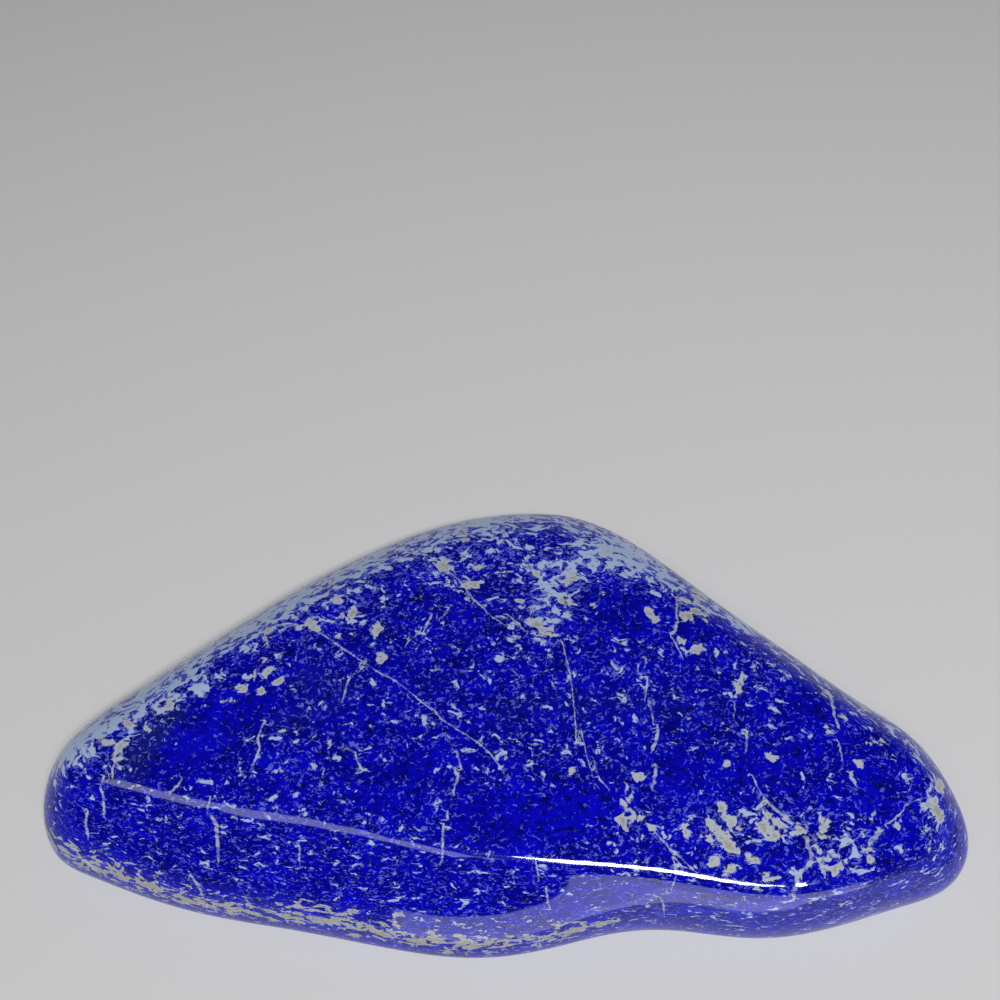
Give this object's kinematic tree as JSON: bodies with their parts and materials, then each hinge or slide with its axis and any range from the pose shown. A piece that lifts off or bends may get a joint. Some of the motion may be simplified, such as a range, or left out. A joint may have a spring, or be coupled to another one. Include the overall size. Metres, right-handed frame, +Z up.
{
  "type": "lapis lazuli stone",
  "caption": "Polished free-form slab of natural lapis lazuli with a shallow domed face and a broad layered front wall, lying on its flat underside.",
  "frame": {"origin": "middle of the bounding box, on the surface that the stone lies on", "axes": "+X along the length, towards the blunt right end; +Y from the layered front wall to the back point; +Z up out of the polished face"},
  "size_m": [0.2138, 0.1108, 0.0248],
  "materials": {
    "lapis": "hand-polished, deep blue with paler flecks and calcite streaks"
  },
  "bodies": {
    "root": {"lapis_lazuli": "lapis"}
  },
  "joints": []
}
